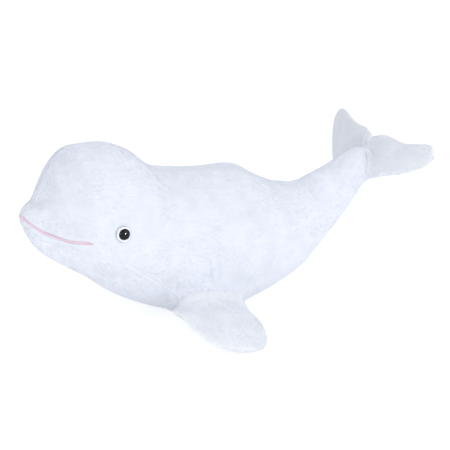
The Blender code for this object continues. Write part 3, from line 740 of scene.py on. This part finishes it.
lifted.operation = "SCALE"
links.new(scatter.outputs["Normal"], lifted.inputs[0])
links.new(entry.outputs["Lift"], lifted.inputs["Scale"])
aim = nodes.new("FunctionNodeAlignRotationToVector")
aim.axis = "Z"
links.new(joined("ShaderNodeVectorMath", "ADD", along, lifted.outputs["Vector"]), aim.inputs["Vector"])
length = nodes.new("FunctionNodeRandomValue")
length.inputs["Min"].default_value = 0.7
length.inputs["Max"].default_value = 1.2
length.inputs["Seed"].default_value = 13


def plant(points, one_piece, rotation, scale, material):
    """Sets a small piece at every point, makes the copies real and painted, and hands them out."""
    one, on_points = nodes.new("GeometryNodeObjectInfo"), nodes.new("GeometryNodeInstanceOnPoints")
    realize, paint = nodes.new("GeometryNodeRealizeInstances"), nodes.new("GeometryNodeSetMaterial")
    one.inputs["Object"].default_value = one_piece
    paint.inputs["Material"].default_value = material
    for fed_by, socket in ((points, on_points.inputs["Points"]),
                           (one.outputs["Geometry"], on_points.inputs["Instance"]),
                           (rotation, on_points.inputs["Rotation"]), (scale, on_points.inputs["Scale"]),
                           (on_points.outputs["Instances"], realize.inputs["Geometry"]),
                           (realize.outputs["Geometry"], paint.inputs["Geometry"]),
                           (paint.outputs["Geometry"], nodes.new("NodeGroupOutput").inputs["Geometry"])):
        links.new(fed_by, socket)


plant(scatter.outputs["Points"], strand, aim.outputs["Rotation"], length.outputs["Value"], white_plush)


def made_plain(piece, tree, settings):
    """Runs the nodes once and keeps their result as an ordinary mesh."""
    growth = piece.modifiers.new(tree.name, "NODES")
    growth.node_group = tree
    for socket, value in settings:
        growth[socket.identifier] = value
    plain = bpy.data.meshes.new_from_object(piece.evaluated_get(bpy.context.evaluated_depsgraph_get()))
    piece.modifiers.remove(growth)
    piece.data = plain


def pile_on(skin_piece, name, share, per_m2, from_x, to_x, nap, lift):
    """Grows the pile of one stretch of a skin, as a piece of its own."""
    pile = in_scene(name, skin_piece.data.copy())
    pile.data.attributes.new("pile_share", "FLOAT", "POINT").data.foreach_set("value", share)
    made_plain(pile, pile_tree, [(pile_inputs["Strands per m2"], per_m2),
                                 (pile_inputs["From x"], from_x), (pile_inputs["To x"], to_x),
                                 (pile_inputs["Nap"], nap), (pile_inputs["Lift"], lift)])
    return pile


body_strands, limb_strands = 8.0e5, 1.15e6
body_nap, pile_lift, limb_pile_lift = (1.0, 0.0, -0.25), 0.42, 0.27
head_pile_length, trunk_pile_end, limb_bare_height = 0.140, 0.258, 0.003
pile_ends = [cad_low.x - 1, snout_x + head_pile_length, snout_x + trunk_pile_end, cad_high.x + 1]
body_share = np.concatenate((pile_share.ravel(), (1.0, 1.0))).astype(np.float32)
for name, from_x, to_x in zip(("head_pile", "trunk_pile", "tail_pile"), pile_ends, pile_ends[1:]):
    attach(pile_on(body, name, body_share, body_strands, from_x, to_x, body_nap, pile_lift), "torso")
for limb, name, bend_from, bend_to, nap, limb_share in limbs:
    heights = np.array([vert.co.z for vert in limb.data.vertices])
    limb_share = (np.append(limb_share.ravel(), (1, 1)) * (heights > limb_bare_height)).astype(np.float32)
    pile = pile_on(limb, f"{name}_pile", limb_share, limb_strands, pile_ends[0], pile_ends[-1], nap,
                   limb_pile_lift)
    pile.data.materials[0] = limb_plush_painted_light
    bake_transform(pile)


# Eyes: a polished black dome in a pale moulded rim, its stem locked behind the cloth by a washer. The
# pile stands round the rim like a lip.
def simple_material(name, colour, roughness):
    """One even colour with its roughness, as moulded plastic and thread have."""
    material = bpy.data.materials.new(name)
    material.use_nodes = True
    shader = material.node_tree.nodes["Principled BSDF"]
    shader.inputs["Base Color"].default_value = (*colour, 1)
    shader.inputs["Roughness"].default_value = roughness
    return material


def turned_mesh(name, outline, place, steps=64):
    """A round piece from an outline of radius and height pairs, turned about its own axis."""
    work = bmesh.new()
    rings = []
    for radius, height in outline:
        if radius < 1e-7:
            rings.append([work.verts.new((0, 0, height))] * steps)
        else:
            rings.append([work.verts.new((radius * math.cos(2 * math.pi * k / steps),
                                          radius * math.sin(2 * math.pi * k / steps), height))
                          for k in range(steps)])
    closed = outline[0] != outline[-1] and (outline[0][0] > 0 or outline[-1][0] > 0)
    pairs = list(zip(rings, rings[1:])) + ([(rings[-1], rings[0])] if closed else [])
    for low, high in pairs:
        for k in range(steps):
            corners = []
            for vert in (low[k], low[(k + 1) % steps], high[(k + 1) % steps], high[k]):
                if vert not in corners:
                    corners.append(vert)
            if len(corners) > 2:
                work.faces.new(corners)
    bmesh.ops.recalc_face_normals(work, faces=work.faces)
    mesh = bpy.data.meshes.new(name)
    work.to_mesh(mesh)
    work.free()
    mesh.transform(place)
    mesh.shade_smooth()
    return in_scene(name, mesh)


eye_black = simple_material("eye_black", (0.004, 0.0045, 0.006), 0.06)
eye_black.node_tree.nodes["Principled BSDF"].inputs["Specular IOR Level"].default_value = 0.2
eye_rim_look = simple_material("eye_rim", (0.84, 0.87, 0.92), 0.28)
dome_radius, dome_height = 0.0060, 0.0042
dome_back, dome_side_top, dome_foot, cloth_below_rim = -0.004, 0.0004, 0.0006, 0.0012
quarter = [math.pi / 2 * k / 14 for k in range(15)]
dome_outline = [(0.0, dome_back), (dome_radius, dome_back), (dome_radius, dome_side_top)]
dome_outline += [(dome_radius * math.cos(t), dome_foot + dome_height * math.sin(t)) for t in quarter]
rim_outline = [(0.00605, -0.003), (0.0078, -0.003), (0.0081, 0.0004), (0.0079, 0.0012),
               (0.0072, 0.0018), (0.0064, 0.0018), (0.00595, 0.0011)]
for name in ("left", "right"):
    rim_middle = sum(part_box(f"eye_rim_{name}"), Vector()) / 2
    washer_middle = sum(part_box(f"eye_washer_{name}"), Vector()) / 2
    out = (rim_middle - washer_middle).normalized()
    place = out.to_track_quat("Z", "Y").to_matrix().to_4x4()
    place.translation = rim_middle - out * cloth_below_rim
    dome = turned_mesh(f"eye_{name}_dome", dome_outline, place)
    dome.data.materials.append(eye_black)
    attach(dome, "torso")
    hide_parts(f"eye_{name}")
    rim = turned_mesh(f"eye_{name}_ring", rim_outline, place)
    rim.data.materials.append(eye_rim_look)
    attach(rim, "torso")
    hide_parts(f"eye_rim_{name}")


# Mouth: satin stitch in pink thread over the front of the chin seam, from corner to corner round the
# snout. Each stitch is one bowed thread laid across the seam, close beside the next.
mouth_thread = simple_material("mouth_thread", (0.79, 0.61, 0.71), 0.6)
mouth_thread.node_tree.nodes["Principled BSDF"].inputs["Sheen Weight"].default_value = 0.4


def thread_stitch(name, length, thickness, bow):
    """One bowed thread, closed at both ends, laid along its own X."""
    rows, sides, end_share = 5, 5, 0.55
    work = bmesh.new()
    rings = []
    for k in range(rows):
        share = k / (rows - 1)
        size = thickness / 2 * (end_share if k in (0, rows - 1) else 1.0)
        middle = Vector(((share - 0.5) * length, 0, bow * math.sin(math.pi * share)))
        rings.append([work.verts.new(middle + Vector((0, size * math.cos(t), size * math.sin(t))))
                      for t in (math.pi * 2 * j / sides for j in range(sides))])
    for low, high in zip(rings, rings[1:]):
        for j in range(sides):
            work.faces.new((low[j], low[(j + 1) % sides], high[(j + 1) % sides], high[j]))
    work.faces.new(rings[0][::-1])
    work.faces.new(rings[-1])
    bmesh.ops.recalc_face_normals(work, faces=work.faces)
    mesh = bpy.data.meshes.new(name)
    work.to_mesh(mesh)
    work.free()
    return bpy.data.objects.new(name, mesh)


def along_line(at, marks, line):
    """Points at given places along a line whose stops lie at the marks."""
    return np.stack([np.interp(at, marks, line[:, k]) for k in range(3)], -1)


stitch_length, stitch_thickness, stitch_bow, stitch_spacing = 0.0040, 0.00062, 0.0006, 0.00050
stitch_lift, corner_width, corner_rest, corner_reach = 0.0004, 0.30, 0.70, 0.009
stitch = thread_stitch("one_stitch", stitch_length, stitch_thickness, stitch_bow)
stitch.data.shade_smooth()
half_mouth = along_line(np.linspace(0, 1, 400), np.linspace(0, 1, len(mouth_line)), mouth_line)
whole_mouth = np.concatenate((half_mouth[::-1], half_mouth[1:] * (1, -1, 1)))
lengths = np.concatenate(((0,), np.cumsum(np.linalg.norm(np.diff(whole_mouth, axis=0), axis=1))))
at = np.linspace(0, lengths[-1], int(lengths[-1] / stitch_spacing))
under_stitch = nearest_indices(shell.reshape(-1, 3), along_line(at, lengths, whole_mouth))
mouth_points = eased_line(shell.reshape(-1, 3)[under_stitch], 4)
mouth_outs = eased_line(grid_normals(shell).reshape(-1, 3)[under_stitch], 6)
mouth_outs /= np.linalg.norm(mouth_outs, axis=1, keepdims=True)
mouth_across = np.cross(mouth_outs, np.gradient(mouth_points, axis=0))
mouth_across /= np.linalg.norm(mouth_across, axis=1, keepdims=True)
mouth_points += mouth_outs * stitch_lift

path_mesh = bpy.data.meshes.new("mouth_path")
path_mesh.from_pydata(mouth_points.tolist(), [], [])
width_shares = corner_width + corner_rest * ramp(np.minimum(at, lengths[-1] - at) / corner_reach)
narrowing = path_mesh.attributes.new("width_share", "FLOAT", "POINT")
narrowing.data.foreach_set("value", width_shares.astype(np.float32))
for label, values in (("across", mouth_across), ("out", mouth_outs)):
    ways = path_mesh.attributes.new(label, "FLOAT_VECTOR", "POINT")
    ways.data.foreach_set("vector", values.astype(np.float32).ravel())
mouth = in_scene("mouth_stitching", path_mesh)

stitching, stitching_inputs = new_tree("satin_stitch", (("Unevenness", "Float"),))
nodes, links = stitching.nodes, stitching.links
entry = nodes.new("NodeGroupInput")
facing = []
for label, axis, pivot in (("out", "Z", "AUTO"), ("across", "X", "Z")):
    align = nodes.new("FunctionNodeAlignRotationToVector")
    align.axis, align.pivot_axis = axis, pivot
    links.new(attribute_read(label, "FLOAT_VECTOR"), align.inputs["Vector"])
    if facing:
        links.new(facing[-1].outputs["Rotation"], align.inputs["Rotation"])
    facing.append(align)
vary = nodes.new("FunctionNodeRandomValue")
vary.inputs["Seed"].default_value = 5
vary.inputs["Min"].default_value = 0.92
links.new(entry.outputs["Unevenness"], vary.inputs["Max"])
width_share = attribute_read("width_share", "FLOAT")
narrowed = joined("ShaderNodeMath", "MULTIPLY", vary.outputs["Value"], width_share)
plant(entry.outputs["Geometry"], stitch, facing[-1].outputs["Rotation"], narrowed, mouth_thread)

made_plain(mouth, stitching, [(stitching_inputs["Unevenness"], 1.06)])
bpy.data.objects.remove(stitch, do_unlink=True)
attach(mouth, "torso")
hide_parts("mouth_stitch")


# Washers: pale moulded rings, pressed on the eyes' stems behind the cloth. They stay as the frame has
# them, in their own plastic.
washer_look = simple_material("washer_plastic", (0.72, 0.72, 0.70), 0.45)
for name in ("left", "right"):
    for slot in frame["nodes"][f"eye_washer_{name}"].material_slots:
        slot.material = washer_look


# Floor and light: a plain white floor that keeps the whale's soft shadow, an even white room and two
# wide lamps, the stronger one in front on the right. Two small lamps show only in the polished eyes.
def ray_to_backdrop():
    """One where the camera, or a ray that something polished or clear sends on, meets the surface."""
    ray = nodes.new("ShaderNodeLightPath").outputs
    mirrored = joined("ShaderNodeMath", "MAXIMUM", ray["Is Glossy Ray"], ray["Is Transmission Ray"])
    return joined("ShaderNodeMath", "MAXIMUM", ray["Is Camera Ray"], mirrored)


floor_half, floor_drop, seen_glow, even_glow = 3, 0.0006, 0.14, 0.30
floor_corners = [(x * floor_half, y * floor_half, 0) for x, y in ((-1, -1), (1, -1), (1, 1), (-1, 1))]
floor_mesh = bpy.data.meshes.new("floor")
floor_mesh.from_pydata(floor_corners, [], [(0, 1, 2, 3)])
floor = in_scene("floor", floor_mesh)
floor.location.z = -floor_drop
floor_look = bpy.data.materials.new("floor")
floor_look.use_nodes = True
nodes, links = floor_look.node_tree.nodes, floor_look.node_tree.links
nodes.remove(nodes["Principled BSDF"])
matt = nodes.new("ShaderNodeBsdfDiffuse")
matt.inputs["Color"].default_value = (0.90, 0.90, 0.90, 1)
glow = nodes.new("ShaderNodeEmission")
seen = joined("ShaderNodeMath", "MULTIPLY", ray_to_backdrop(), seen_glow)
lit = joined("ShaderNodeMath", "ADD", seen, even_glow)
both = nodes.new("ShaderNodeAddShader")
links.new(lit, glow.inputs["Strength"])
links.new(matt.outputs["BSDF"], both.inputs[0])
links.new(glow.outputs["Emission"], both.inputs[1])
links.new(both.outputs["Shader"], nodes["Material Output"].inputs["Surface"])
floor_mesh.materials.append(floor_look)

world = bpy.data.worlds.new("studio")
bpy.context.scene.world = world
world.use_nodes = True
nodes, links = world.node_tree.nodes, world.node_tree.links
room = nodes["Background"]
room.inputs["Color"].default_value = (0.96, 0.975, 1.0, 1)
room.inputs["Strength"].default_value = 0.76
backdrop = nodes.new("ShaderNodeBackground")
backdrop.inputs["Strength"].default_value = 1.0
backdrop.inputs["Color"].default_value = (1, 1, 1, 1)
choose = nodes.new("ShaderNodeMixShader")
links.new(ray_to_backdrop(), choose.inputs["Fac"])
links.new(room.outputs["Background"], choose.inputs[1])
links.new(backdrop.outputs["Background"], choose.inputs[2])
links.new(choose.outputs["Shader"], nodes["World Output"].inputs["Surface"])

for name, place, width, power, catch_only in (("key_lamp", (0.75, -1.3, 1.05), 1.1, 7.3, False),
                                              ("fill_lamp", (-1.2, -1.0, 0.90), 1.1, 4.5, False),
                                              ("eye_lamp", (0.22, -1.40, 0.354), 0.30, 42.0, True),
                                              ("side_eye_lamp", (-1.535, -0.10, 0.337), 0.25, 6.0, True)):
    lamp_data = bpy.data.lights.new(name, "AREA")
    lamp_data.shape = "SQUARE"
    lamp_data.size = width
    lamp_data.energy = power
    lamp = in_scene(name, lamp_data)
    lamp.location = place
    lamp.rotation_euler = (Vector(place) - looked_at).to_track_quat("Z", "Y").to_euler()
    lamp.visible_diffuse = not catch_only

bpy.context.scene.view_settings.view_transform = "Standard"
